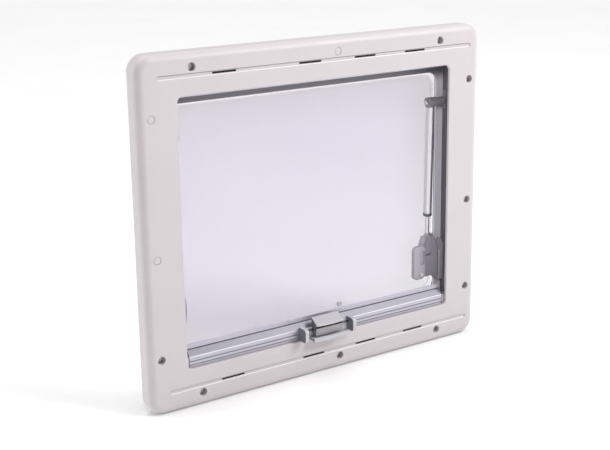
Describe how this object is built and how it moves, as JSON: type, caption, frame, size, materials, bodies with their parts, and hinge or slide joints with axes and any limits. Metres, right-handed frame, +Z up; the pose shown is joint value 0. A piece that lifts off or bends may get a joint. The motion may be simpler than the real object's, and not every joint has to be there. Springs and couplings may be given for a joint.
{
  "type": "top-hung caravan window",
  "caption": "Top-hung acrylic window for a caravan wall, with a white inner frame, telescopic stays, a turn latch and a roller blackout blind and flyscreen.",
  "frame": {"origin": "centre of the wall cut-out in the plane of the inner wall skin", "axes": "+X right seen from the room, +Y outward through the wall, +Z up"},
  "size_m": [0.588, 0.0809, 0.514],
  "materials": {
    "frame_white": "satin moulded",
    "outer_grey": "satin moulded",
    "seal_rubber": "matt",
    "acrylic": "clear",
    "latch_grey": "satin moulded",
    "clear_plug": "translucent",
    "stay_metal": "drawn",
    "arm_grey": "satin moulded",
    "dark_plastic": "satin",
    "bar_aluminium": "anodised",
    "catch_grey": "satin moulded",
    "steel": "zinc plated",
    "blackout_fabric": "coated cloth",
    "screen_net": "woven net"
  },
  "bodies": {
    "frame": {"inner_frame": "frame_white", "frame_screws": "steel", "screw_caps": "frame_white", "outer_frame": "outer_grey", "sash_seal": "seal_rubber", "hinge_rail": "outer_grey", "keeper": "latch_grey", "guide_left": "dark_plastic", "guide_right": "dark_plastic", "stay_bracket_left": "arm_grey", "stay_bracket_right": "arm_grey", "stay_pin_left": "steel", "stay_pin_right": "steel", "blackout_bracket_left": "dark_plastic", "blackout_bracket_right": "dark_plastic", "flyscreen_bracket_left": "dark_plastic", "flyscreen_bracket_right": "dark_plastic", "blackout_cloth": "blackout_fabric", "flyscreen_cloth": "screen_net"},
    "sash": {"outer_pane": "acrylic", "inner_pane": "acrylic", "sash_hinge_profile": "bar_aluminium", "vent_plug": "clear_plug", "latch_screw": "steel", "foot_housing_left": "latch_grey", "foot_housing_right": "latch_grey", "foot_pin_left": "steel", "foot_pin_right": "steel"},
    "lever": {"latch_lever": "latch_grey"},
    "stay_tube_left": {"stay_tube_left": "stay_metal", "stay_tube_end_left": "arm_grey", "stay_collar_left": "dark_plastic"},
    "stay_rod_left": {"stay_rod_left": "stay_metal", "stay_foot_left": "latch_grey"},
    "stay_tube_right": {"stay_tube_right": "stay_metal", "stay_tube_end_right": "arm_grey", "stay_collar_right": "dark_plastic"},
    "stay_rod_right": {"stay_rod_right": "stay_metal", "stay_foot_right": "latch_grey"},
    "blackout_bar": {"blackout_bar": "bar_aluminium", "bar_end_left": "frame_white", "bar_end_right": "frame_white", "catch_base": "catch_grey", "catch_pin": "steel"},
    "catch": {"catch_handle": "catch_grey"},
    "blackout_roller": {"blackout_roller": "bar_aluminium", "blackout_roll": "blackout_fabric"},
    "flyscreen_bar": {"flyscreen_bar": "bar_aluminium", "screen_end_left": "frame_white", "screen_end_right": "frame_white"},
    "flyscreen_roller": {"flyscreen_roller": "bar_aluminium", "flyscreen_roll": "screen_net"}
  },
  "joints": [
    {"name": "sash_hinge", "type": "hinge", "parent": "frame", "child": "sash", "pos_m": [0, 0.031, 0.197], "axis": [1, 0, 0], "range_deg": [0, 42]},
    {"name": "latch_turn", "type": "hinge", "parent": "sash", "child": "lever", "pos_m": [0.207, 0.0024, -0.15], "axis": [0, 1, 0], "range_deg": [0, 90]},
    {"name": "stay_tube_swing_left", "type": "hinge", "parent": "frame", "child": "stay_tube_left", "pos_m": [-0.2265, 0.0086, 0.1334], "axis": [1, 0, 0], "range_deg": [0, 50.4]},
    {"name": "stay_rod_swing_left", "type": "hinge", "parent": "sash", "child": "stay_rod_left", "pos_m": [-0.2265, 0.0146, -0.118], "axis": [1, 0, 0], "range_deg": [0, 8.3]},
    {"name": "stay_tube_swing_right", "type": "hinge", "parent": "frame", "child": "stay_tube_right", "pos_m": [0.2265, 0.0086, 0.1334], "axis": [1, 0, 0], "range_deg": [0, 50.4]},
    {"name": "stay_rod_swing_right", "type": "hinge", "parent": "sash", "child": "stay_rod_right", "pos_m": [0.2265, 0.0146, -0.118], "axis": [1, 0, 0], "range_deg": [0, 8.3]},
    {"name": "blackout_slide", "type": "slide", "parent": "frame", "child": "blackout_bar", "axis": [0, 0, 1], "range_m": [0, 0.36], "deforming": ["blackout_cloth"]},
    {"name": "catch_press", "type": "hinge", "parent": "blackout_bar", "child": "catch", "pos_m": [0, -0.03, -0.182], "axis": [1, 0, 0], "range_deg": [0, 12], "stiffness_Nm_per_rad": 0.3, "springref_deg": -5.73},
    {"name": "blackout_roller_spin", "type": "hinge", "parent": "frame", "child": "blackout_roller", "pos_m": [0, -0.001, -0.209], "axis": [1, 0, 0], "range_deg": [-2064, 0]},
    {"name": "flyscreen_slide", "type": "slide", "parent": "frame", "child": "flyscreen_bar", "axis": [0, 0, -1], "range_m": [0, 0.36], "deforming": ["flyscreen_cloth"]},
    {"name": "flyscreen_roller_spin", "type": "hinge", "parent": "frame", "child": "flyscreen_roller", "pos_m": [0, 0.008, 0.209], "axis": [1, 0, 0], "range_deg": [0, 2293]}
  ],
  "couplings": [
    {"joint": "stay_tube_swing_left", "follows": "sash_hinge", "ratio": 1.1865},
    {"joint": "stay_rod_swing_left", "follows": "sash_hinge", "ratio": 0.1865},
    {"joint": "stay_tube_swing_right", "follows": "sash_hinge", "ratio": 1.1865},
    {"joint": "stay_rod_swing_right", "follows": "sash_hinge", "ratio": 0.1865},
    {"joint": "blackout_roller_spin", "follows": "blackout_slide", "rad_per_m": -100},
    {"joint": "flyscreen_roller_spin", "follows": "flyscreen_slide", "rad_per_m": 111.11}
  ]
}
